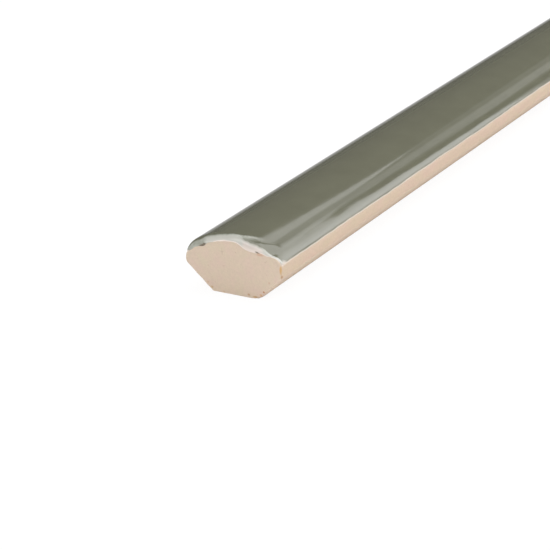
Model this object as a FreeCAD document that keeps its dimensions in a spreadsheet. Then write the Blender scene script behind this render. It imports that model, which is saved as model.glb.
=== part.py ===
"""Narrow glazed bullnose tile, one fired piece of clay.

Lengths are millimetres. The tile lies on its flat back: X runs along the tile,
Y across it and Z up, with the origin at the middle of the back. Seen from an
end, the section has a flat back strip, a slope up to each long side, a short
upright side, a shoulder that turns the side into the glazed face, and the
crown between the shoulders. The glazed face rolls over both ends.
"""
import FreeCAD, Part
import math
import os
import Sketcher

# Driving sizes: alias, millimetres, meaning.
SIZES = [
    ("tile_length", 200.0, "end face to end face"),
    ("tile_width", 20.0, "over the two long sides"),
    ("back_width", 9.6, "flat strip of the back, slope to slope"),
    ("slope_height", 4.8, "back to the top of each slope"),
    ("side_height", 0.75, "upright side, above its slope"),
    ("crown_rise", 5.65, "top of the upright side to the top of the crown"),
    ("shoulder_radius", 4.0, "turn of the glazed face into a side"),
    ("side_corner_radius", 1.0, "long corner between side and slope"),
    ("back_corner_radius", 0.4, "long corner between slope and back"),
    ("end_roll_radius", 1.25, "roll of the crown over an end"),
    ("end_arris_radius", 0.2, "end edge of the sides, slopes and back"),
]
HEIGHT_FORMULA = "=slope_height + side_height + crown_rise"

# How close an edge has to lie to the place it is looked for.
NEAR = 1e-4


def make_sheet(doc):
    """The spreadsheet of driving sizes, and the height that they add up to."""
    sheet = doc.addObject("Spreadsheet::Sheet", "Sizes")
    for row, (alias, value, meaning) in enumerate(SIZES, start=1):
        sheet.set("A%d" % row, alias)
        sheet.set("B%d" % row, str(value))
        sheet.set("C%d" % row, meaning)
        sheet.setAlias("B%d" % row, alias)
    last = len(SIZES) + 1
    sheet.set("A%d" % last, "tile_height")
    sheet.set("B%d" % last, HEIGHT_FORMULA)
    sheet.setAlias("B%d" % last, "tile_height")
    doc.recompute()
    return sheet


def origin_plane(body, role):
    """One of the body's own origin planes."""
    for feature in body.Origin.OriginFeatures:
        if feature.Role == role:
            return feature
    raise RuntimeError("the body has no plane " + role)


def section_places(sheet):
    """Where the section's corners and centres lie on the +Y side, as (y, z)."""
    half_width = sheet.tile_width / 2
    side_top = sheet.slope_height + sheet.side_height
    shoulder_y = half_width - sheet.shoulder_radius
    rise = sheet.crown_rise
    # The crown touches both shoulders and reaches its rise on the middle line.
    crown_radius = ((shoulder_y ** 2 + rise ** 2 - sheet.shoulder_radius ** 2)
                    / (2 * (rise - sheet.shoulder_radius)))
    crown_centre = side_top + rise - crown_radius
    lean = math.atan2(shoulder_y, side_top - crown_centre)
    return {
        "back_corner": (sheet.back_width / 2, 0.0),
        "side_corner": (half_width, sheet.slope_height),
        "side_top": (half_width, side_top),
        "shoulder_centre": (shoulder_y, side_top),
        "crown_centre": (0.0, crown_centre),
        "crown_top": (0.0, side_top + rise),
        "crown_end": (crown_radius * math.sin(lean),
                      crown_centre + crown_radius * math.cos(lean)),
        "crown_radius": crown_radius,
        "lean": lean,
    }


def point(place, side=1):
    """A section place as a sketch point; side -1 is its mirror image."""
    return FreeCAD.Vector(side * place[0], place[1], 0)


def add_line(sketch, start, end):
    return sketch.addGeometry(Part.LineSegment(start, end))


def add_arc(sketch, centre, radius, first_angle, last_angle):
    circle = Part.Circle(centre, FreeCAD.Vector(0, 0, 1), radius)
    return sketch.addGeometry(Part.ArcOfCircle(circle, first_angle, last_angle))


def constrain(sketch, *terms):
    return sketch.addConstraint(Sketcher.Constraint(*terms))


def bind(sketch, sheet, alias, *terms):
    """A dimension of the sketch that follows the sheet's value of that name."""
    index = constrain(sketch, *terms, float(getattr(sheet, alias)))
    sketch.renameConstraint(index, alias)
    sketch.setExpression("Constraints." + alias, "Sizes." + alias)


def draw_section(sketch, sheet):
    """The closed outline of an end, anticlockwise from the back."""
    # The sketcher's numbers for a curve's points, the upright axis and the origin.
    start, end, centre = 1, 2, 3
    up_axis, origin = -2, (-1, 1)

    at = section_places(sheet)
    quarter_turn = math.pi / 2
    crown_start = quarter_turn - at["lean"]
    crown_stop = quarter_turn + at["lean"]

    back = add_line(sketch, point(at["back_corner"], -1), point(at["back_corner"]))
    slope = add_line(sketch, point(at["back_corner"]), point(at["side_corner"]))
    side = add_line(sketch, point(at["side_corner"]), point(at["side_top"]))
    shoulder = add_arc(sketch, point(at["shoulder_centre"]),
                       sheet.shoulder_radius, 0, crown_start)
    crown = add_arc(sketch, point(at["crown_centre"]),
                    at["crown_radius"], crown_start, crown_stop)
    far_shoulder = add_arc(sketch, point(at["shoulder_centre"], -1),
                           sheet.shoulder_radius, crown_stop, math.pi)
    far_side = add_line(sketch, point(at["side_top"], -1), point(at["side_corner"], -1))
    far_slope = add_line(sketch, point(at["side_corner"], -1), point(at["back_corner"], -1))
    crown_top = sketch.addGeometry(Part.Point(point(at["crown_top"])), True)

    for curve, following in ((back, slope), (slope, side),
                             (far_side, far_slope), (far_slope, back)):
        constrain(sketch, "Coincident", curve, end, following, start)
    for curve, following in ((side, shoulder), (shoulder, crown),
                             (crown, far_shoulder), (far_shoulder, far_side)):
        constrain(sketch, "Tangent", curve, end, following, start)

    constrain(sketch, "Horizontal", back)
    constrain(sketch, "Vertical", side)
    constrain(sketch, "Vertical", far_side)
    constrain(sketch, "Symmetric", back, start, back, end, *origin)
    constrain(sketch, "Symmetric", slope, end, far_side, end, up_axis)
    constrain(sketch, "Equal", shoulder, far_shoulder)
    constrain(sketch, "PointOnObject", crown, centre, up_axis)
    constrain(sketch, "PointOnObject", crown_top, start, up_axis)
    constrain(sketch, "PointOnObject", crown_top, start, crown)

    bind(sketch, sheet, "back_width", "DistanceX", back, start, back, end)
    bind(sketch, sheet, "tile_width", "DistanceX", far_side, end, slope, end)
    bind(sketch, sheet, "slope_height", "DistanceY", *origin, slope, end)
    bind(sketch, sheet, "side_height", "DistanceY", side, start, side, end)
    bind(sketch, sheet, "shoulder_radius", "Radius", shoulder)
    bind(sketch, sheet, "tile_height", "DistanceY", *origin, crown_top, start)


def make_tile_run(doc, sheet):
    """The section run along X by the tile's length, half to each side."""
    body = doc.addObject("PartDesign::Body", "TileRun")
    sketch = body.newObject("Sketcher::SketchObject", "TileSection")
    sketch.AttachmentSupport = [(origin_plane(body, "YZ_Plane"), "")]
    sketch.MapMode = "FlatFace"
    doc.recompute()
    draw_section(sketch, sheet)
    doc.recompute()
    if not sketch.FullyConstrained:
        raise RuntimeError("the section can still move")

    run = body.newObject("PartDesign::Pad", "Run")
    run.Profile = sketch
    run.SideType = "Symmetric"
    run.setExpression("Length", "Sizes.tile_length")
    body.Tip = run
    doc.recompute()
    return body


def long_edges_at(shape, place):
    """Names of the two edges along X that pass through a place and its mirror."""
    names = []
    for number, edge in enumerate(shape.Edges, start=1):
        middle = edge.BoundBox.Center
        runs_along = edge.BoundBox.YLength < NEAR and edge.BoundBox.ZLength < NEAR
        beside = abs(abs(middle.y) - place[0]) < NEAR
        level = abs(middle.z - place[1]) < NEAR
        if runs_along and beside and level:
            names.append("Edge%d" % number)
    if len(names) != 2:
        raise RuntimeError("expected a pair of long edges at %s" % (place,))
    return names


def round_long_corners(doc, body, name, place, radius_alias):
    """Round one pair of the long corners."""
    base = body.Tip
    rounding = body.newObject("PartDesign::Fillet", name)
    rounding.Base = (base, long_edges_at(base.Shape, place))
    rounding.setExpression("Radius", "Sizes." + radius_alias)
    body.Tip = rounding
    doc.recompute()


def end_edge_radii(shape, sheet):
    """Every end edge with the radius at each of its two points.

    The crown has the full roll, the shoulders carry it down to the arris, and
    the rest of the end outline has the arris.
    """
    at = section_places(sheet)
    roll = float(sheet.end_roll_radius)
    arris = float(sheet.end_arris_radius)
    rows = []
    for number, edge in enumerate(shape.Edges, start=1):
        box = edge.BoundBox
        on_end = abs(abs(box.Center.x) - sheet.tile_length / 2) < NEAR
        if not on_end or box.XLength > NEAR:
            continue
        first, last = edge.Vertexes[0].Point, edge.Vertexes[-1].Point
        middle_z = (box.ZMin + box.ZMax) / 2
        if middle_z > at["crown_end"][1]:
            rows.append((number, roll, roll))
        elif middle_z > at["side_top"][1]:
            falls = first.z > last.z
            rows.append((number, roll, arris) if falls else (number, arris, roll))
        else:
            rows.append((number, arris, arris))
    return rows


def roll_over_ends(doc, body, sheet):
    """The finished tile: the run with its end edges rolled over."""
    tile = doc.addObject("Part::Fillet", "BullnoseTile")
    tile.Label = "bullnose_tile"
    tile.Base = body
    tile.Edges = end_edge_radii(body.Shape, sheet)
    doc.recompute()
    return tile


def check_document(doc):
    """Stop if any object of the document failed."""
    for item in doc.Objects:
        if "Invalid" in item.State or "Error" in item.State:
            raise RuntimeError("%s: %s" % (item.Name, item.State))


def write_part(part):
    """Write one finished part under its label."""
    shape = part.Shape
    if shape.isNull() or not shape.isValid() or len(shape.Solids) != 1:
        raise RuntimeError(part.Label + " is not one valid solid")
    shape.exportStep(os.path.join("parts", part.Label + ".step"))
    print("%s: %.1f mm3" % (part.Label, shape.Volume))


def main():
    doc = FreeCAD.newDocument("BullnoseTile")
    sheet = make_sheet(doc)
    at = section_places(sheet)
    body = make_tile_run(doc, sheet)
    round_long_corners(doc, body, "SideCorners", at["side_corner"], "side_corner_radius")
    round_long_corners(doc, body, "BackCorners", at["back_corner"], "back_corner_radius")
    tile = roll_over_ends(doc, body, sheet)
    check_document(doc)
    os.makedirs("parts", exist_ok=True)
    write_part(tile)


main()
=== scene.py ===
"""Looks of a narrow glazed bullnose tile: a bare clay body under a coat of grey-green glaze.

The tile lies on its flat back: X runs along it, Y across it and Z up. Its near end is
the one at -X and its front side the one at -Y. Shapes are worked out in millimetres
and become metres when a mesh is made. A place on the tile's skin has two coordinates:
`around`, the distance round the section from the middle of the crown, positive towards
+Y, and `along`, the distance from the middle of the tile, which goes on over the rolled
end edge and down the end face.
"""
import math
from collections import namedtuple

import bpy
import numpy as np
from mathutils import Matrix, Vector, noise


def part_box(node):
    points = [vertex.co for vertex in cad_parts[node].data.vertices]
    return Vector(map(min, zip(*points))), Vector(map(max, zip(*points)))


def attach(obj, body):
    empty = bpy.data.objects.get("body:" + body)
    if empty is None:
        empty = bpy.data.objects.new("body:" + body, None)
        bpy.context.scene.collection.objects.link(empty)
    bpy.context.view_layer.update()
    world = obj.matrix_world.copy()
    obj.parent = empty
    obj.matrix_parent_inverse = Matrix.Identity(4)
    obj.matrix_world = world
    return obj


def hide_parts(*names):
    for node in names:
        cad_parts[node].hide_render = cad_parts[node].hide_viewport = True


NODE = "bullnose_tile"
BODY = "root"
MM = 0.001

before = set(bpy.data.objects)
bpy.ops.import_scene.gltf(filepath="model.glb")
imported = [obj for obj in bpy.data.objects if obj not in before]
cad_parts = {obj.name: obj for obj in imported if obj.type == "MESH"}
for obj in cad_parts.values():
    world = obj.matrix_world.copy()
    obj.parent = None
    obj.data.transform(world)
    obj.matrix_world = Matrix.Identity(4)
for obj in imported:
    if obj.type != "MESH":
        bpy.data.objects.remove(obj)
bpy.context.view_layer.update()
tile_low, tile_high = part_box(NODE)

# The tile's sizes, in millimetres.
HALF_LENGTH = (tile_high.x - tile_low.x) / 2 / MM
HALF_WIDTH = (tile_high.y - tile_low.y) / 2 / MM
BACK_WIDTH = 9.6
SLOPE_HEIGHT = 4.8
SIDE_HEIGHT = 0.75
CROWN_RISE = 5.65
SHOULDER_RADIUS = 4.0
SIDE_CORNER_RADIUS = 1.0
BACK_CORNER_RADIUS = 0.4
END_ROLL_RADIUS = 1.25
END_ARRIS_RADIUS = 0.2

# How deep the surfaces lie below the tile's skin, in millimetres.
COAT_TOP = 0.020
CLAY_UNDER_COAT = 0.30
CLAY_AT_BORDER = 0.13
CLAY_BARE = 0.02
COAT_SINK = 0.03

# How far outside the glaze's border the clay starts to sink to its depth at the border, and how
# far inside it reaches its depth under the coat.
CLAY_FADE_OUT = 0.45
CLAY_FADE_IN = 0.50
# Unevenness of the bare clay: its mean depth, and as much again either way.
CLAY_RELIEF = 0.012
# The near end's worn lower front corner: depth and size.
CORNER_CHIP = (0.26, 0.75)

# The glaze's border: its height on the front and the far side, and the width of its rounded lip.
FRONT_BORDER_HEIGHT = 6.80
FAR_BORDER_HEIGHT = 6.75
LIP_WIDTH = 0.50
# The side border's waves: length and height.
LONG_WAVE = (7.0, 0.13)
SHORT_WAVE = (1.9, 0.07)
# How far from a corner of the border its two stretches blend.
CORNER_BLEND = 0.25
# Depth of the ripples on the front shoulder and of the small chips.
RIPPLE_DEPTH = 0.030
CHIP_DEPTH = 0.10

# Where the glaze ends over the near end: (around, distance past the start of the roll).
NEAR_OVERHANG = [
    (-11.2, -0.40), (-10.5, 0.12), (-9.8, 0.50), (-9.15, 0.89), (-8.6, 1.29), (-7.85, 1.69),
    (-7.25, 1.74), (-6.8, 1.76), (-6.5, 1.92), (-6.1, 2.18), (-5.7, 2.38), (-5.2, 2.52),
    (-4.35, 2.70), (-3.45, 2.70), (-2.9, 2.60), (-2.5, 2.42), (-2.1, 2.18), (-1.55, 2.03),
    (-0.6, 1.93), (0.8, 1.95), (2.85, 2.04), (4.5, 2.04), (5.45, 1.99), (5.9, 2.12), (6.5, 2.36),
    (7.15, 2.32), (7.85, 2.06), (9.05, 1.80), (9.9, 1.52), (10.65, 1.12), (11.25, 0.70),
]
# How wide the glaze is pale there, in from its border: (around, width).
NEAR_PALE = [
    (-11.3, 0.55), (-10.1, 0.58), (-8.6, 0.54), (-7.9, 0.72), (-7.3, 0.85), (-6.65, 1.06),
    (-6.1, 1.32), (-5.3, 1.64), (-4.6, 1.70), (-3.8, 1.75), (-3.1, 1.54), (-2.6, 1.58),
    (-2.0, 1.86), (-1.3, 1.74), (0.0, 1.46), (0.8, 1.32), (2.35, 1.28), (4.35, 1.20),
    (6.15, 1.28), (8.3, 1.00), (9.5, 0.80), (11.3, 0.60),
]
# How far in from its border the glaze is a little pale there: (around, width, share).
NEAR_VEIL = [
    (-5.6, 4.1, 0.0), (-4.7, 4.0, 0.33), (-3.8, 3.65, 0.80), (-3.4, 3.4, 0.95), (-2.9, 3.05, 1.0),
    (-2.4, 2.5, 1.0), (-1.9, 1.9, 0.6), (-1.5, 1.8, 0.0),
]
# Where the glaze starts to slope down to the near end, before the roll: (around, distance from the end).
NEAR_SLOPE = [
    (-11.4, 0.30), (-10.6, 2.0), (-9.8, 3.1), (-9.0, 3.3), (-8.45, 3.2), (-7.7, 3.0), (-7.15, 2.6),
    (-6.7, 2.05), (-6.1, 1.65), (-5.5, 1.5), (-4.8, 1.75), (-4.0, 1.85), (-3.0, 1.8), (-2.0, 1.5),
    (-1.0, 1.25), (0.0, 1.0),
]
STEEPEST_SLOPE = 0.20
# Small chips in the near end's glaze: (around, past the start of the roll, half width, half height).
# The glaze is painted darker inside these chips, as painted shade of their pits.
NEAR_CHIPS = [(7.0, 2.14, 0.95, 0.22), (6.35, 2.04, 0.40, 0.24), (-6.12, 2.02, 0.62, 0.17)]
# The overhang and the pale width at the far end, alike on both sides of the crown's middle.
FAR_OVERHANG = [(0, 2.1), (8.4, 1.7), (11.3, 0.4)]
FAR_PALE = [(0, 1.2), (6, 1.0), (9, 0.4), (11.3, 0.25)]


def smooth_step(value, low, high):
    """From 0 at low to 1 at high, level at both."""
    share = np.clip((value - low) / (high - low), 0, 1)
    return share * share * (3 - 2 * share)


def read_table(table, place):
    """The value at each place, from a table of (place, value)."""
    return np.interp(place, *zip(*table))


def waves(x, y, seed):
    """Smooth noise from -1 to 1 at each pair of coordinates, about one wave to a unit."""
    x, y = np.broadcast_arrays(x, y)
    flat = [noise.noise((a, b, seed)) for a, b in zip(x.ravel(), y.ravel())]
    return np.reshape(flat, x.shape)


# A piece of the section: its first point, its length, the lean of its normal at both ends,
# from +Z towards +Y, and its radius, which is 0 where it is straight.
Piece = namedtuple("Piece", "y z length first_lean last_lean radius")


def section_pieces():
    """The half section from the crown's middle to the back's middle, as pieces in order."""
    side_top = SLOPE_HEIGHT + SIDE_HEIGHT
    shoulder_y = HALF_WIDTH - SHOULDER_RADIUS
    crown_radius = ((shoulder_y ** 2 + CROWN_RISE ** 2 - SHOULDER_RADIUS ** 2)
                    / (2 * (CROWN_RISE - SHOULDER_RADIUS)))
    crown_centre = side_top + CROWN_RISE - crown_radius
    crown_lean = math.atan2(shoulder_y, side_top - crown_centre)
    slope_run = HALF_WIDTH - BACK_WIDTH / 2
    slope_lean = math.pi - math.atan2(SLOPE_HEIGHT, slope_run)
    side_cut = SIDE_CORNER_RADIUS * math.tan((slope_lean - math.pi / 2) / 2)
    back_cut = BACK_CORNER_RADIUS * math.tan((math.pi - slope_lean) / 2)
    quarter = math.pi / 2

    def arc(radius, first, last):
        return radius * (last - first), first, last, radius

    def line(length, lean):
        return length, lean, lean, 0.0

    pieces = []
    y, z = 0.0, side_top + CROWN_RISE
    for length, first, last, radius in (
            arc(crown_radius, 0.0, crown_lean),
            arc(SHOULDER_RADIUS, crown_lean, quarter),
            line(SIDE_HEIGHT - side_cut, quarter),
            arc(SIDE_CORNER_RADIUS, quarter, slope_lean),
            line(math.hypot(slope_run, SLOPE_HEIGHT) - side_cut - back_cut, slope_lean),
            arc(BACK_CORNER_RADIUS, slope_lean, math.pi),
            line(BACK_WIDTH / 2 - back_cut, math.pi)):
        pieces.append(Piece(y, z, length, first, last, radius))
        if radius:
            y += radius * (math.sin(last) - math.sin(first))
            z += radius * (math.cos(last) - math.cos(first))
        else:
            y += length * math.cos(first)
            z -= length * math.sin(first)
    return pieces


PIECES = section_pieces()
CROWN, SHOULDER = PIECES[:2]


def on_section(around):
    """Place, normal and end roll radius at each distance round the section."""
    distance = np.abs(around)
    side = np.where(around < 0, -1.0, 1.0)
    y, z, lean = np.zeros(distance.shape), np.zeros(distance.shape), np.zeros(distance.shape)
    start = 0.0
    for piece in PIECES:
        here = distance >= start
        past = distance - start
        if piece.radius:
            turned = piece.first_lean + past / piece.radius
            piece_y = piece.y + piece.radius * (np.sin(turned) - math.sin(piece.first_lean))
            piece_z = piece.z + piece.radius * (np.cos(turned) - math.cos(piece.first_lean))
        else:
            turned = np.full(distance.shape, piece.first_lean)
            piece_y = piece.y + past * math.cos(piece.first_lean)
            piece_z = piece.z - past * math.sin(piece.first_lean)
        y = np.where(here, piece_y, y)
        z = np.where(here, piece_z, z)
        lean = np.where(here, turned, lean)
        start += piece.length
    down_shoulder = (lean - SHOULDER.first_lean) / (SHOULDER.last_lean - SHOULDER.first_lean)
    roll = END_ROLL_RADIUS + (END_ARRIS_RADIUS - END_ROLL_RADIUS) * np.clip(down_shoulder, 0, 1)
    return side * y, z, side * np.sin(lean), np.cos(lean), roll


def around_at_height(height):
    """Distance round the section to a height on the shoulder."""
    side_top = SLOPE_HEIGHT + SIDE_HEIGHT
    lean = math.acos((height - side_top) / SHOULDER_RADIUS)
    return CROWN.length + SHOULDER_RADIUS * (lean - SHOULDER.first_lean)


def on_skin(around, along, depth):
    """Points of the tile, each a depth below its skin, one row for each coordinate."""
    y, z, normal_y, normal_z, roll = on_section(around)
    end = np.where(along < 0, -1.0, 1.0)
    past = np.abs(along) - (HALF_LENGTH - roll)
    turn = np.clip(past / roll, 0, math.pi / 2)
    down = np.maximum(past - roll * math.pi / 2, 0)
    x = np.where(past > 0, HALF_LENGTH - roll + roll * np.sin(turn), np.abs(along))
    sunk = roll * (1 - np.cos(turn)) + down + depth * np.cos(turn)
    return np.stack([end * (x - depth * np.sin(turn)), y - normal_y * sunk,
                     z - normal_z * sunk], axis=-1)


def side_border(around, along):
    """Distance round the section at which the glaze ends, on the side that around is on."""
    front = around < 0
    level = np.where(front, around_at_height(FRONT_BORDER_HEIGHT), around_at_height(FAR_BORDER_HEIGHT))
    seed = np.where(front, 3.0, 40.0)
    long_wave = LONG_WAVE[1] * waves(along / LONG_WAVE[0], seed, 1.7)
    short_wave = SHORT_WAVE[1] * waves(along / SHORT_WAVE[0], seed, 8.3)
    return level + long_wave + short_wave


def overhang(around, along):
    """How far past the start of the end roll the glaze reaches."""
    near = sum(read_table(NEAR_OVERHANG, around + shift) for shift in (-0.2, 0.0, 0.2)) / 3
    far = read_table(FAR_OVERHANG, np.abs(around)) + 0.25 * waves(around / 2.6, 5.0, 2.2)
    fine = 0.05 * waves(around / 0.8, np.sign(along), 4.4)
    return np.where(along < 0, near, far) + fine


def inside_coat(around, along):
    """Distance in from the glaze's border: to the side border, to the end border and to the nearer."""
    roll = on_section(around)[4]
    from_side = side_border(around, along) - np.abs(around)
    from_end = HALF_LENGTH - roll + overhang(around, along) - np.abs(along)
    nearer = np.minimum(from_side, from_end)
    alike = np.clip(1 - np.abs(from_side - from_end) / CORNER_BLEND, 0, 1)
    return from_side, from_end, nearer - CORNER_BLEND * alike * alike / 4


def clay_depth(inside):
    """Depth of the clay below the tile's skin."""
    bare = CLAY_BARE + (CLAY_AT_BORDER - CLAY_BARE) * smooth_step(inside, -CLAY_FADE_OUT, 0.0)
    under = (CLAY_UNDER_COAT - CLAY_AT_BORDER) * smooth_step(inside, 0.0, CLAY_FADE_IN)
    return bare + under


def before_end(roll, past):
    """Distance from the end face and depth of the roll, at a distance past the start of the roll."""
    turn = np.clip(past / roll, 0, math.pi / 2)
    from_face = np.where(past > 0, roll * (1 - np.sin(turn)), roll - past)
    sunk = roll * (1 - np.cos(turn)) + np.maximum(past - roll * math.pi / 2, 0)
    return turn, from_face, sunk


def near_slope(around, along):
    """How far the near end's glaze lies below the skin, where it slopes down to its border.

    The slope is a flat ramp that starts where NEAR_SLOPE says, reaches the border at the
    border's own height and joins the skin with a soft bend.
    """
    least_run = 0.3
    bend = 0.05
    roll = on_section(around)[4]
    turn, from_face, sunk = before_end(roll, np.abs(along) - (HALF_LENGTH - roll))
    border_face, border_sunk = before_end(roll, overhang(around, np.full(np.shape(around), -1.0)))[1:]
    start = read_table(NEAR_SLOPE, around)
    steep = np.clip(border_sunk / np.maximum(start - border_face, least_run), 0, STEEPEST_SLOPE)
    below = (steep * (start - from_face) - sunk) / (np.cos(turn) + steep * np.sin(turn))
    below = (below + np.sqrt(below ** 2 + bend ** 2)) / 2
    return below * smooth_step(around, -11.4, -10.4) * (1 - smooth_step(around, -1.5, 0.0)) * (along < 0)


def near_chips(around, along):
    """1 inside the small chips of the near end's glaze, 0 outside them: where the glaze is pitted and
    darkened with painted shade.
    """
    out_of_reach = -99.0
    past = np.where(along < 0, np.abs(along) - (HALF_LENGTH - on_section(around)[4]), out_of_reach)
    chipped_and_shaded = np.zeros(np.shape(past))
    for middle, reach, half_width, half_height in NEAR_CHIPS:
        away = np.hypot((around - middle) / half_width, (past - reach) / half_height)
        chipped_and_shaded = np.maximum(chipped_and_shaded, 1 - smooth_step(away, 0.65, 1.15))
    return chipped_and_shaded


def coat_depth(inside, around, along):
    """Depth of the glaze's face below the tile's skin."""
    share = np.clip(inside / LIP_WIDTH, 0, 1)
    rise = np.sqrt(1 - (1 - share) ** 2)
    clay = clay_depth(inside)
    front_shoulder = smooth_step(-around, 8.0, 9.8) * smooth_step(inside, 0.0, 1.0)
    ripple = RIPPLE_DEPTH * front_shoulder * (1 + waves(along / 8.0, around / 5.0, 6.1))
    pit = CHIP_DEPTH * near_chips(around, along) * share
    return clay - (clay - COAT_TOP) * rise + ripple + pit


def graded(first, last, first_step, last_step):
    """Places from first to last, with steps that grow from one size to the other."""
    count = max(2, round(2 * (last - first) / (first_step + last_step)))
    share = np.linspace(0, 1, count + 1)
    bend = first_step / (first_step + last_step) * 2
    return first + (last - first) * (bend * share + (1 - bend) * share ** 2)


def coat_columns():
    """Shares of the way round to the side border, from -1 to 1, close together near both borders."""
    border_width = 0.6
    reach = around_at_height(FRONT_BORDER_HEIGHT)
    half = np.concatenate([
        np.linspace(0, CROWN.length, 28, endpoint=False),
        np.linspace(CROWN.length, reach - border_width, 11, endpoint=False),
        reach - border_width * (1 - np.linspace(0, 1, 9)) ** 1.6,
    ]) / reach
    return np.concatenate([-half[:0:-1], half])


def coat_rows():
    """Shares of the half run, and shares of the overhang past it."""
    run = graded(0, 1, 0.014, 0.0030)
    tail = 1 - (1 - np.linspace(0, 1, 20)[1:]) ** 1.2
    return run, tail


def coat_grid():
    """The around and along coordinates of the coat's grid, a row for each step along the tile."""
    share = coat_columns()
    mean_around = share * around_at_height(FRONT_BORDER_HEIGHT)
    roll = on_section(mean_around)[4]
    run, tail = coat_rows()
    halves = []
    for end in (-1.0, 1.0):
        start = HALF_LENGTH - roll
        reach = overhang(mean_around, np.full(share.shape, end))
        rows = [end * start * step for step in run]
        rows += [end * (start + reach * step) for step in tail]
        halves.append(np.array(rows))
    along = np.concatenate([halves[0][:0:-1], halves[1]])
    around = share * side_border(np.broadcast_to(share, along.shape), along)
    return around, along


def mesh_object(name, points, faces, material, layers):
    """A smooth mesh in metres with float attributes on its points."""
    mesh = bpy.data.meshes.new(name)
    mesh.from_pydata((points * MM).tolist(), [], faces)
    for layer, values in layers.items():
        mesh.attributes.new(layer, "FLOAT", "POINT").data.foreach_set("value", values.astype(np.float32))
    mesh.polygons.foreach_set("use_smooth", np.ones(len(mesh.polygons), bool))
    mesh.materials.append(material)
    mesh.validate()
    mesh.update()
    piece = bpy.data.objects.new(name, mesh)
    bpy.context.scene.collection.objects.link(piece)
    return piece


def grid_faces(rows, columns, first, flip=False):
    """Quads of a grid of points that is open on all four sides."""
    faces = []
    for row in range(rows - 1):
        for column in range(columns - 1):
            corner = first + row * columns + column
            quad = [corner, corner + 1, corner + columns + 1, corner + columns]
            faces.append(quad[::-1] if flip else quad)
    return faces


def border_loop(rows, columns):
    """Point numbers round a grid's border, in order."""
    top = list(range(columns))
    right = [row * columns + columns - 1 for row in range(1, rows)]
    bottom = [(rows - 1) * columns + column for column in range(columns - 2, -1, -1)]
    left = [row * columns for row in range(rows - 2, 0, -1)]
    return top + right + bottom + left


def coat_layers(around, along, from_side, from_end):
    """What the glaze's material needs to know at each point of the coat."""
    near = along < 0
    at_corner = 1 - smooth_step(HALF_LENGTH + along, 1.6, 2.6)
    pale_width = np.where(near, read_table(NEAR_PALE, around), read_table(FAR_PALE, np.abs(around)))
    # Towards the far side the near end's rim is only a little pale, right out to its border.
    end_share = np.maximum(from_end / pale_width, 0.975 * smooth_step(around, 3.0, 6.4) * near)
    places, widths, shares = zip(*NEAR_VEIL)
    reach = from_end / np.interp(around, places, widths)
    veil = (1 - smooth_step(reach, 0.92, 1.04)) * (0.5 + 0.5 * smooth_step(reach, 0.60, 0.74))
    return {
        "from_side": from_side / (1 + 1.3 * at_corner),
        "end_share": end_share,
        "milky": smooth_step(around, -7.3, -6.2) * (1 - smooth_step(around, -3.2, -2.3)) * near,
        "veil": veil * np.interp(around, places, shares) * near,
        # Where the glaze is painted darker, as painted shade inside the chips' pits.
        "chipped_and_shaded": near_chips(around, along),
    }


def make_coat(material):
    """The fired glaze: a closed coat with a rounded lip, its inner face just inside the clay."""
    around, along = coat_grid()
    rows, columns = around.shape
    from_side, from_end, inside = inside_coat(around, along)
    inside = np.maximum(inside, 0)
    slope = near_slope(around, along)
    outer = on_skin(around, along, coat_depth(inside, around, along) + slope)
    inner = on_skin(around, along, clay_depth(inside) + COAT_SINK + slope)
    points = np.concatenate([outer.reshape(-1, 3), inner.reshape(-1, 3)])
    count = rows * columns
    faces = grid_faces(rows, columns, 0) + grid_faces(rows, columns, count, flip=True)
    loop = border_loop(rows, columns)
    for here, following in zip(loop, loop[1:] + loop[:1]):
        faces.append([following, here, here + count, following + count])
    layers = coat_layers(around, along, from_side, from_end)
    both_faces = {name: np.tile(values.ravel(), 2) for name, values in layers.items()}
    return mesh_object("glaze_coat", points, faces, material, both_faces)


def clay_columns():
    """Distances round the whole section, for the clay's rings."""
    steps_by_piece = [14, 20, 4, 9, 24, 6, 12]
    half = []
    start = 0.0
    for piece, steps in zip(PIECES, steps_by_piece):
        half.append(start + piece.length * np.linspace(0, 1, steps, endpoint=False))
        start += piece.length
    half = np.concatenate(half)
    return np.concatenate([half, [start], -half[:0:-1]])


def clay_rings(around):
    """Rings of the clay from the near end face to the far one, as along coordinates."""
    roll = on_section(around)[4]
    quarter = math.pi / 2
    run = graded(0, 1, 0.028, 0.0035)
    rolls = np.linspace(0, 1, 9)[1:]
    half = [step * (HALF_LENGTH - roll) for step in run]
    half += [HALF_LENGTH - roll + roll * quarter * share for share in rolls]
    half = np.array(half)
    return np.concatenate([-half[:0:-1], half])


def clay_relief(points):
    """Slight unevenness of the bare clay, in millimetres."""
    broad = waves(points[..., 0] / 9.0, points[..., 1] / 3.0 + points[..., 2] / 3.0, 12.0)
    return CLAY_RELIEF + CLAY_RELIEF * broad


def corner_chip(points):
    """How much the clay is worn off at the near end's lower front corner, in millimetres."""
    depth, size = CORNER_CHIP
    corner = np.array([-HALF_LENGTH, -BACK_WIDTH / 2, 0.0])
    away = np.linalg.norm(points - corner, axis=-1)
    return depth * np.exp(-(away / size) ** 2)


def arris_wear(around, along):
    """How much the clay's end edges are worn off, in millimetres."""
    roll = on_section(around)[4]
    from_arris = (np.abs(along) - (HALF_LENGTH - roll)) / roll - math.pi / 4
    uneven = np.maximum(waves(around / 1.3, np.sign(along) * 3.0, 9.0), -0.4)
    return np.exp(-(from_arris * 1.1) ** 2) * (0.02 + 0.05 * uneven)


# The middle of an end face as (y, z), and the sizes of its rings as shares of the outermost.
END_MIDDLE = np.array([0.0, SLOPE_HEIGHT + SIDE_HEIGHT])
END_RING_SHARES = 1 - np.linspace(0, 1, 26)[1:-1] ** 0.95


def bare_share(inside):
    """0 under the glaze and 1 on the bare clay, at a distance in from the glaze's border."""
    return smooth_step(-inside, 0.0, 0.4)


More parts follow.
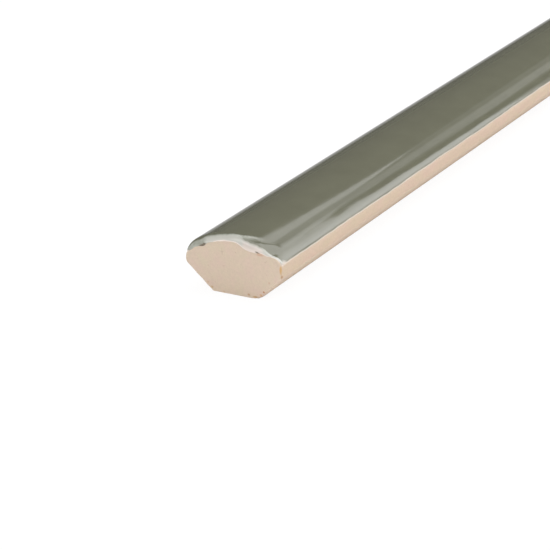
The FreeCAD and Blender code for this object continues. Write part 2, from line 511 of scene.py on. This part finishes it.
def end_ring(ring, around, along, end, share):
    """An end face's ring of points: the clay's last ring, shrunk towards the face's middle."""
    flat = END_MIDDLE + (ring[:, 1:] - END_MIDDLE) * share
    distance = np.linalg.norm(ring[:, 1:] - flat, axis=1)
    inside = inside_coat(around, along + end * distance)[2]
    points = np.column_stack([np.full(len(ring), end * HALF_LENGTH), flat])
    sunk = clay_depth(inside) + clay_relief(points) * bare_share(inside)
    points[:, 0] -= end * (sunk + corner_chip(points))
    return points


def ring_faces(ring, following_ring, columns, flip=False):
    """Quads between two closed rings, each given by the number of its first point."""
    faces = []
    for column in range(columns):
        after = (column + 1) % columns
        quad = [ring + column, ring + after, following_ring + after, following_ring + column]
        faces.append(quad[::-1] if flip else quad)
    return faces


def fan_faces(ring, middle, columns, flip=False):
    """Triangles between a closed ring and a point in its middle."""
    faces = []
    for column in range(columns):
        triangle = [ring + column, ring + (column + 1) % columns, middle]
        faces.append(triangle[::-1] if flip else triangle)
    return faces


def make_clay(material):
    """The clay body: rings along the tile, and on each end face rings that shrink to its middle."""
    around = clay_columns()
    along = clay_rings(around)
    wide = np.broadcast_to(around, along.shape)
    inside = inside_coat(wide, along)[2]
    bare = bare_share(inside)
    depth = clay_depth(inside) + near_slope(wide, along)
    smooth_body = on_skin(wide, along, depth)
    rough = (clay_relief(smooth_body) + arris_wear(wide, along)) * bare + corner_chip(smooth_body)
    body = on_skin(wide, along, depth + rough)
    rows, columns = wide.shape
    points, faces = [body.reshape(-1, 3)], []
    for row in range(rows - 1):
        faces += ring_faces(row * columns, (row + 1) * columns, columns)
    first = rows * columns
    for row, end in ((0, -1.0), (rows - 1, 1.0)):
        ring = row * columns
        for share in END_RING_SHARES:
            points.append(end_ring(body[row], around, along[row], end, share))
            faces += ring_faces(ring, first, columns, flip=end < 0)
            ring = first
            first += columns
        points.append(np.array([[end * (HALF_LENGTH - CLAY_BARE - CLAY_RELIEF), *END_MIDDLE]]))
        faces += fan_faces(ring, first, columns, flip=end < 0)
        first += 1
    return mesh_object("clay_body", np.concatenate(points), faces, material, {})


def new_material(name):
    material = bpy.data.materials.new(name)
    material.use_nodes = True
    tree = material.node_tree
    tree.nodes.clear()
    return material, tree


def add_node(tree, kind, **settings):
    node = tree.nodes.new(kind)
    for name, value in settings.items():
        setattr(node, name, value)
    return node


def read_layer(tree, name):
    return add_node(tree, "ShaderNodeAttribute", attribute_name=name).outputs["Fac"]


def own_place(tree):
    """The piece's own coordinates, in metres."""
    return add_node(tree, "ShaderNodeTexCoord").outputs["Object"]


def own_axis(tree, axis):
    """One of the piece's own coordinates, in metres."""
    split = add_node(tree, "ShaderNodeSeparateXYZ")
    tree.links.new(own_place(tree), split.inputs["Vector"])
    return split.outputs[axis]


def noise_value(tree, size_mm, detail=2.0, stretch=(1, 1, 1)):
    """Noise whose waves are about size_mm long, from the piece's own coordinates."""
    mapping = add_node(tree, "ShaderNodeMapping")
    mapping.inputs["Scale"].default_value = stretch
    texture = add_node(tree, "ShaderNodeTexNoise")
    texture.inputs["Scale"].default_value = 1 / (size_mm * MM)
    texture.inputs["Detail"].default_value = detail
    tree.links.new(own_place(tree), mapping.inputs["Vector"])
    tree.links.new(mapping.outputs["Vector"], texture.inputs["Vector"])
    return texture.outputs["Fac"]


def map_value(tree, value, from_low, from_high, to_low=0.0, to_high=1.0):
    """A value carried from one range to another, and kept inside it."""
    node = add_node(tree, "ShaderNodeMapRange")
    for name, number in (("From Min", from_low), ("From Max", from_high),
                         ("To Min", to_low), ("To Max", to_high)):
        node.inputs[name].default_value = number
    tree.links.new(value, node.inputs["Value"])
    return node.outputs["Result"]


def combine(tree, operation, first, second=0.0):
    """Two numbers joined by a maths node; each is a number or an output of another node."""
    node = add_node(tree, "ShaderNodeMath", operation=operation)
    for socket, value in zip(node.inputs, (first, second)):
        if isinstance(value, (int, float)):
            socket.default_value = value
        else:
            tree.links.new(value, socket)
    return node.outputs["Value"]


def by_ray(tree, always, **extras):
    """A number that depends on the kind of ray: always, and more for each kind that is named."""
    ray = add_node(tree, "ShaderNodeLightPath")
    level = always
    for kind, extra in extras.items():
        is_kind = ray.outputs["Is %s Ray" % kind.capitalize()]
        level = combine(tree, "ADD", combine(tree, "MULTIPLY", is_kind, extra), level)
    return level


def mix_colour(tree, share, first, second, blend="MIX"):
    node = add_node(tree, "ShaderNodeMix", data_type="RGBA", blend_type=blend)
    for socket, value in ((node.inputs["Factor"], share), (node.inputs["A"], first),
                          (node.inputs["B"], second)):
        if isinstance(value, (int, float, tuple)):
            socket.default_value = value
        else:
            tree.links.new(value, socket)
    return node.outputs["Result"]


def ramp(tree, value, stops):
    """A colour for a value, from (position, colour) stops."""
    node = add_node(tree, "ShaderNodeValToRGB")
    elements = node.color_ramp.elements
    while len(elements) < len(stops):
        elements.new(0.5)
    for element, (position, colour) in zip(elements, stops):
        element.position = position
        element.color = colour
    tree.links.new(value, node.inputs["Fac"])
    return node.outputs["Color"]


def srgb(red, green, blue):
    """A colour written as it shows, from 0 to 255, as the linear colour that a shader takes."""
    def linear(level):
        share = level / 255
        return share / 12.92 if share <= 0.04045 else ((share + 0.055) / 1.055) ** 2.4
    return (linear(red), linear(green), linear(blue), 1.0)


def finish_shader(tree, colour, roughness, height, bump_distance_mm, bump_strength):
    shader = add_node(tree, "ShaderNodeBsdfPrincipled")
    bump = add_node(tree, "ShaderNodeBump")
    bump.inputs["Distance"].default_value = bump_distance_mm * MM
    bump.inputs["Strength"].default_value = bump_strength
    output = add_node(tree, "ShaderNodeOutputMaterial")
    tree.links.new(colour, shader.inputs["Base Color"])
    tree.links.new(roughness, shader.inputs["Roughness"])
    tree.links.new(height, bump.inputs["Height"])
    tree.links.new(bump.outputs["Normal"], shader.inputs["Normal"])
    tree.links.new(shader.outputs["BSDF"], output.inputs["Surface"])
    return shader


def glaze_material():
    """Glossy grey-green glaze that is pale where it is thin, with painted shade in its small chips."""
    material, tree = new_material("glaze")
    green = srgb(112, 112, 95)
    wander = map_value(tree, noise_value(tree, 1.2, 3.0), 0.25, 0.75, -0.10, 0.10)
    side = map_value(tree, read_layer(tree, "from_side"), 0.0, 0.80)
    side_colour = ramp(tree, side, [
        (0.0, srgb(238, 225, 214)), (0.18, srgb(230, 218, 207)), (0.32, srgb(176, 171, 157)),
        (0.46, srgb(130, 129, 114)), (0.58, green),
    ])
    end = combine(tree, "MULTIPLY", combine(tree, "ADD", read_layer(tree, "end_share"), wander), 0.5)
    end_colour = ramp(tree, end, [
        (0.0, srgb(240, 226, 217)), (0.07, srgb(230, 219, 211)), (0.12, srgb(204, 202, 194)),
        (0.38, srgb(199, 198, 189)), (0.46, srgb(184, 185, 175)), (0.53, srgb(150, 151, 138)),
        (0.60, green),
    ])
    milky_colour = ramp(tree, end, [
        (0.0, srgb(229, 214, 204)), (0.37, srgb(217, 207, 199)), (0.49, srgb(184, 182, 171)),
        (0.56, green),
    ])
    end_colour = mix_colour(tree, read_layer(tree, "milky"), end_colour, milky_colour)
    colour = mix_colour(tree, 1.0, side_colour, end_colour, "LIGHTEN")
    veil_colour = mix_colour(tree, read_layer(tree, "veil"), green, srgb(165, 166, 154))
    colour = mix_colour(tree, 1.0, colour, veil_colour, "LIGHTEN")
    # Painted shade: the glaze is darkened inside the small chips to stand in for the shadow in their
    # pits.
    colour = mix_colour(tree, read_layer(tree, "chipped_and_shaded"), colour, srgb(112, 101, 84))
    mottle = map_value(tree, noise_value(tree, 5.0, 4.0), 0.3, 0.7, 0.96, 1.04)
    colour = mix_colour(tree, 1.0, colour, mottle, "MULTIPLY")
    roughness = map_value(tree, noise_value(tree, 3.0), 0.3, 0.7, 0.06, 0.09)
    shader = finish_shader(tree, colour, roughness, noise_value(tree, 2.6, 1.0), 0.010, 0.5)
    shader.inputs["IOR"].default_value = 1.6
    return material


# Small stains of the near end's clay: place, radii in millimetres, colour, strength.
STAINS = [
    ((-100.0, -5.9, 8.50), (0.5, 0.75, 0.26), (206, 168, 144), 0.75),
    ((-100.0, -9.80, 6.55), (0.6, 0.20, 1.25), (212, 168, 104), 0.75),
    ((-99.9, -9.95, 5.05), (0.4, 0.25, 0.35), (188, 150, 118), 0.8),
    ((-100.0, -6.0, 1.68), (0.4, 0.22, 0.22), (176, 122, 84), 0.9),
    ((-100.0, -5.35, 0.95), (0.4, 0.30, 0.30), (200, 158, 110), 0.7),
    ((-100.0, -2.8, 0.70), (0.4, 0.26, 0.22), (190, 150, 116), 0.8),
    ((-100.0, -4.1, 0.42), (0.4, 0.60, 0.22), (186, 146, 98), 0.75),
    ((-100.0, -7.3, 3.57), (0.4, 0.22, 0.22), (196, 160, 134), 0.6),
    ((-100.0, 4.87, 0.85), (0.4, 0.26, 0.24), (196, 160, 112), 0.7),
    ((-100.0, 5.6, 1.67), (0.4, 0.25, 0.22), (200, 162, 128), 0.6),
    ((-100.0, 2.4, 0.35), (0.4, 0.30, 0.18), (196, 166, 132), 0.6),
    ((-100.0, 1.94, 7.81), (0.4, 0.10, 0.75), (186, 162, 146), 0.5),
    ((-100.0, 1.94, 7.95), (0.4, 0.45, 0.10), (190, 166, 150), 0.4),
]


def add_stain(tree, colour, place, radii, tint, strength):
    """The colour with one small soft-edged stain laid over it."""
    shift = add_node(tree, "ShaderNodeVectorMath", operation="SUBTRACT")
    shift.inputs[1].default_value = [number * MM for number in place]
    spread = add_node(tree, "ShaderNodeVectorMath", operation="DIVIDE")
    spread.inputs[1].default_value = [number * MM for number in radii]
    size = add_node(tree, "ShaderNodeVectorMath", operation="LENGTH")
    tree.links.new(own_place(tree), shift.inputs[0])
    tree.links.new(shift.outputs["Vector"], spread.inputs[0])
    tree.links.new(spread.outputs["Vector"], size.inputs[0])
    ragged = combine(tree, "ADD", size.outputs["Value"],
                     map_value(tree, noise_value(tree, 0.5), 0.2, 0.8, -0.25, 0.25))
    share = map_value(tree, ragged, 0.55, 1.15, strength, 0.0)
    return mix_colour(tree, share, colour, srgb(*tint))


def warm_long_sides(tree, colour):
    """The colour made a little warmer on the tile's long sides."""
    beside = combine(tree, "ABSOLUTE", own_axis(tree, "Y"))
    on_sides = map_value(tree, beside, 9.5 * MM, 9.9 * MM)
    warm = mix_colour(tree, on_sides, (1, 1, 1, 1), (0.98, 0.94, 0.91, 1))
    return mix_colour(tree, 1.0, colour, warm, "MULTIPLY")


def clay_material():
    """Matt bare clay, warm buff with faint pink clouds, fine grain, specks and a few stains."""
    material, tree = new_material("clay")
    clouds = map_value(tree, noise_value(tree, 2.4, 4.0, (0.6, 1, 1)), 0.34, 0.66)
    colour = mix_colour(tree, clouds, srgb(211, 195, 173), srgb(214, 192, 176))
    colour = warm_long_sides(tree, colour)
    grain = map_value(tree, noise_value(tree, 0.35, 3.0), 0.25, 0.75, 0.955, 1.045)
    colour = mix_colour(tree, 1.0, colour, grain, "MULTIPLY")
    specks = map_value(tree, noise_value(tree, 0.55, 1.0), 0.72, 0.79, 0.0, 0.45)
    colour = mix_colour(tree, specks, colour, srgb(182, 152, 132))
    for place, radii, tint, strength in STAINS:
        colour = add_stain(tree, colour, place, radii, tint, strength)
    roughness = map_value(tree, noise_value(tree, 1.0), 0.3, 0.7, 0.82, 0.95)
    shader = finish_shader(tree, colour, roughness, noise_value(tree, 0.28, 4.0), 0.04, 0.5)
    shader.inputs["Specular IOR Level"].default_value = 0.25
    return material


# Half the floor's width, and the distance over which its mirrored glow fades, in metres.
FLOOR_REACH = 4.0
FLOOR_GLOW_REACH = 0.06


def floor_material():
    """Plain pale floor that the camera sees as white with a faint shadow.

    What the glaze mirrors of it gets darker away from the tile.
    """
    material, tree = new_material("floor")
    diffuse = add_node(tree, "ShaderNodeBsdfDiffuse")
    tree.links.new(by_ray(tree, 0.06, diffuse=0.86, camera=0.05), diffuse.inputs["Color"])
    beside = combine(tree, "ABSOLUTE", own_axis(tree, "Y"))
    fading = combine(tree, "EXPONENT", combine(tree, "MULTIPLY", beside, -1 / FLOOR_GLOW_REACH))
    mirrored = combine(tree, "MULTIPLY", fading, 0.8)
    glow = add_node(tree, "ShaderNodeEmission")
    tree.links.new(by_ray(tree, 0.0, camera=0.92, glossy=mirrored, diffuse=0.15), glow.inputs["Strength"])
    both = add_node(tree, "ShaderNodeAddShader")
    output = add_node(tree, "ShaderNodeOutputMaterial")
    tree.links.new(diffuse.outputs["BSDF"], both.inputs[0])
    tree.links.new(glow.outputs["Emission"], both.inputs[1])
    tree.links.new(both.outputs["Shader"], output.inputs["Surface"])
    return material


def make_floor():
    mesh = bpy.data.meshes.new("floor")
    corners = [(x * FLOOR_REACH, y * FLOOR_REACH, 0) for x, y in ((-1, -1), (1, -1), (1, 1), (-1, 1))]
    mesh.from_pydata(corners, [], [(0, 1, 2, 3)])
    mesh.materials.append(floor_material())
    floor = bpy.data.objects.new("floor", mesh)
    bpy.context.scene.collection.objects.link(floor)


# The middle of the stretch that the camera sees, which the lights are aimed at.
AIM = Vector((-0.05, 0.0, 0.006))


def direction(azimuth, elevation):
    """A unit vector: azimuth in degrees from +X towards +Y, elevation above the floor."""
    turn, lift = math.radians(azimuth), math.radians(elevation)
    return Vector((math.cos(turn) * math.cos(lift), math.sin(turn) * math.cos(lift), math.sin(lift)))


def soft_card(name, brightness, corners, distance=2.5, fade=None):
    """A flat soft light that shines on the tile, its corners given as directions from the tile.

    A fade is the azimuth where the light starts to get weaker, the azimuth where that
    ends, and the share of the brightness that is left there.
    """
    ways = [direction(azimuth, elevation) for azimuth, elevation in corners]
    middle = sum(ways, Vector()).normalized()
    points = [AIM + way * (distance / way.dot(middle)) for way in ways]
    material, tree = new_material(name)
    glow = add_node(tree, "ShaderNodeEmission")
    glow.inputs["Strength"].default_value = brightness
    if fade:
        start, stop, left = fade
        ahead = combine(tree, "SUBTRACT", own_axis(tree, "X"), AIM.x)
        azimuth = combine(tree, "ARCTAN2", own_axis(tree, "Y"), ahead)
        level = map_value(tree, azimuth, math.radians(start), math.radians(stop),
                          brightness, brightness * left)
        tree.links.new(level, glow.inputs["Strength"])
    output = add_node(tree, "ShaderNodeOutputMaterial")
    tree.links.new(glow.outputs["Emission"], output.inputs["Surface"])
    mesh = bpy.data.meshes.new(name)
    mesh.from_pydata(points, [], [list(range(len(points)))])
    mesh.materials.append(material)
    card = bpy.data.objects.new(name, mesh)
    card.visible_camera = False
    bpy.context.scene.collection.objects.link(card)


def front_lights():
    """The lights on the tile's front side, which the front shoulder mirrors as a broad pale band."""
    soft_card("key_light", 3.88, [
        (-29.7, 5), (-29.7, 12), (-28.6, 17), (-28.9, 21), (-28.9, 25), (-26.5, 30), (-19, 36),
        (-10, 38.5), (-9.5, 43), (-14, 46), (-24, 46), (-30, 44.5), (-54, 43), (-54, 9),
        (-36, 9), (-35, 5),
    ], fade=(-39, -29, 0.68))
    soft_card("key_side_light", 0.8, [
        (-26.4, 5), (-26.4, 15), (-27.4, 18), (-28.6, 17), (-29.7, 12), (-29.7, 5),
    ])
    soft_card("key_edge_light", 1.9, [(-5, 38.9), (-5, 43), (-10, 44), (-10, 38.5)], 2.45)
    soft_card("upper_light", 2.75, [
        (-30, 44.6), (-22, 46.2), (-17.5, 47.5), (-14, 52), (-5, 57.5), (5, 59), (50, 62),
        (40, 76), (-60, 78), (-88, 66), (-88, 46), (-54, 43.5),
    ], 2.3)
    soft_card("low_light", 0.9, [(-57, 1), (-57, 9), (-130, 9), (-130, 1)])


def end_light():
    """The light that the near end faces."""
    soft_card("front_light", 2.1, [(143, 12), (143, 50), (165, 60), (197, 60), (197, 12)])


def back_lights():
    """The lights beyond the tile, which the crown mirrors as a narrow band with soft edges."""
    soft_card("strip_light", 1.75, [
        (4.8, 36.0), (5.7, 37.0), (7.6, 38.0), (9.5, 38.5), (11.5, 39.0), (13, 39.4), (17.5, 39.3),
        (24, 42.5), (50, 50), (50, 57), (15, 50.5), (0, 49.5), (-9, 46.5), (1.5, 42.3), (3.3, 41.0),
        (3.3, 40.0), (2.4, 39.3), (1.3, 38.4), (0.6, 36.0),
    ])
    soft_card("back_light", 0.84, [
        (0.2, 24), (0.2, 37.5), (3.2, 40.2), (3.2, 43), (-5, 43), (-5, 38.8), (-11, 37.2),
        (-11, 32), (-16.5, 31), (-16.5, 28.6), (-11, 27.6), (-11, 24),
    ], 2.4)
    soft_card("back_rim_light", 0.33, [
        (5.5, 24), (5.5, 35.8), (0, 38.6), (-6, 38.4), (-14, 35.6), (-18.5, 31), (-18, 24),
    ])


def room_light():
    """A dim light from above and a pale room, which the camera sees as white."""
    soft_card("overhead_light", 0.55, [(0, 66), (90, 66), (180, 66), (270, 66)])
    world = bpy.data.worlds.new("studio")
    world.use_nodes = True
    tree = world.node_tree
    tree.nodes.clear()
    room = add_node(tree, "ShaderNodeBackground")
    room.inputs["Color"].default_value = (1, 1, 1, 1)
    tree.links.new(by_ray(tree, 0.09, diffuse=0.35, camera=0.91), room.inputs["Strength"])
    output = add_node(tree, "ShaderNodeOutputWorld")
    tree.links.new(room.outputs["Background"], output.inputs["Surface"])
    bpy.context.scene.world = world


# The photograph's camera: its place in metres, its aim in degrees and its lens in millimetres.
CAMERA_PLACE = Vector((-0.31558, -0.16234, 0.12063))
CAMERA_AZIMUTH = 35.484
CAMERA_ELEVATION = -23.53
CAMERA_ROLL = -5.38
CAMERA_LENS = 112.76


def make_camera():
    data = bpy.data.cameras.new("camera")
    data.lens = CAMERA_LENS
    data.clip_start = 0.01
    camera = bpy.data.objects.new("camera", data)
    ahead = direction(CAMERA_AZIMUTH, CAMERA_ELEVATION)
    level = ahead.to_track_quat("-Z", "Y").to_matrix().to_4x4()
    camera.matrix_world = (Matrix.Translation(CAMERA_PLACE) @ level
                           @ Matrix.Rotation(math.radians(CAMERA_ROLL), 4, "Z"))
    bpy.context.scene.collection.objects.link(camera)
    bpy.context.scene.camera = camera


def dress_tile():
    coat = make_coat(glaze_material())
    body = make_clay(clay_material())
    for piece, slot in ((coat, "glaze"), (body, "clay")):
        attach(piece, BODY)
        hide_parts(NODE)


dress_tile()
make_floor()
front_lights()
end_light()
back_lights()
room_light()
make_camera()
bpy.context.scene.view_settings.view_transform = "Standard"
